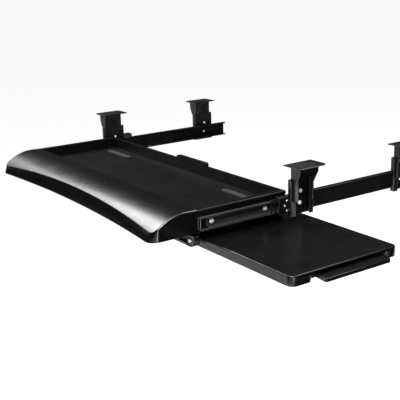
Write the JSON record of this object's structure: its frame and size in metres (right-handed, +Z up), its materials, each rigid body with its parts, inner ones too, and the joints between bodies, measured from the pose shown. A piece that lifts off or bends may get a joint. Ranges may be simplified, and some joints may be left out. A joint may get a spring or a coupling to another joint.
{
  "type": "keyboard tray under desk",
  "caption": "Under-desk keyboard tray with a curved palm rest, ball-bearing slides on adjustable hangers, and a mouse tray that slides out sideways from underneath.",
  "frame": {"origin": "centre of the desk screw pattern, in the plane of the desk's underside", "axes": "+X to the user's right, +Y away from the user towards the back of the desk, +Z up"},
  "size_m": [0.787, 0.5186, 0.1022],
  "materials": {
    "tray_plastic": "black moulded plastic, satin, fine texture",
    "palm_plastic": "black moulded plastic, smooth satin gloss",
    "mouse_plastic": "black moulded plastic, satin",
    "black_steel": "black powder-coated sheet steel",
    "zinc_plate": "bright zinc plate",
    "cage_steel": "dark oiled steel",
    "bearing_steel": "polished balls",
    "black_rubber": "matt black rubber",
    "stop_plastic": "black moulded plastic",
    "glide_plastic": "natural acetal"
  },
  "bodies": {
    "desk_mounts": {"desk_bracket_front_right": "black_steel", "desk_bracket_front_left": "black_steel", "desk_bracket_rear_right": "black_steel", "desk_bracket_rear_left": "black_steel", "height_screws": "zinc_plate", "height_nuts": "cage_steel"},
    "hanger": {"drop_bracket_front_right": "black_steel", "drop_bracket_front_left": "black_steel", "drop_bracket_rear_right": "black_steel", "drop_bracket_rear_left": "black_steel", "slide_outer_right": "black_steel", "slide_outer_left": "black_steel", "slide_end_plate_right": "black_steel", "slide_end_plate_left": "black_steel", "end_plate_rivets": "zinc_plate", "slide_carry_screws": "zinc_plate", "slide_bumper_right": "black_rubber", "slide_bumper_left": "black_rubber"},
    "ball_cages": {"ball_cage_right": "cage_steel", "ball_cage_left": "cage_steel", "slide_balls_right": "bearing_steel", "slide_balls_left": "bearing_steel"},
    "keyboard_tray": {"keyboard_tray": "tray_plastic", "palm_rest": "palm_plastic", "keyboard_stop": "tray_plastic", "anti_slip_pads": "black_rubber", "slide_inner_right": "black_steel", "slide_inner_left": "black_steel", "tray_slide_screws": "zinc_plate", "palm_rest_screws": "zinc_plate", "guide_rail_front": "black_steel", "guide_rail_rear": "black_steel", "guide_rail_screws": "zinc_plate", "guide_end_stop_front_right": "stop_plastic", "guide_end_stop_front_left": "stop_plastic", "guide_end_stop_rear_right": "stop_plastic", "guide_end_stop_rear_left": "stop_plastic", "end_stop_screws": "zinc_plate", "slide_front_piece_right": "stop_plastic", "slide_front_piece_left": "stop_plastic"},
    "mouse_tray": {"mouse_tray": "mouse_plastic", "mouse_runner_front": "black_steel", "mouse_runner_rear": "black_steel", "mouse_glide_front": "glide_plastic", "mouse_glide_rear": "glide_plastic", "runner_screws": "zinc_plate"}
  },
  "joints": [
    {"name": "height_adjust", "type": "slide", "parent": "desk_mounts", "child": "hanger", "axis": [0, 0, 1], "range_m": [-0.013, 0]},
    {"name": "tray_slide", "type": "slide", "parent": "hanger", "child": "keyboard_tray", "axis": [0, 1, 0], "range_m": [0, 0.136]},
    {"name": "cage_slide", "type": "slide", "parent": "hanger", "child": "ball_cages", "axis": [0, 1, 0], "range_m": [0, 0.068]},
    {"name": "mouse_slide", "type": "slide", "parent": "keyboard_tray", "child": "mouse_tray", "axis": [1, 0, 0], "range_m": [-0.188, 0]}
  ],
  "couplings": [
    {"joint": "cage_slide", "follows": "tray_slide", "ratio": 0.5}
  ]
}
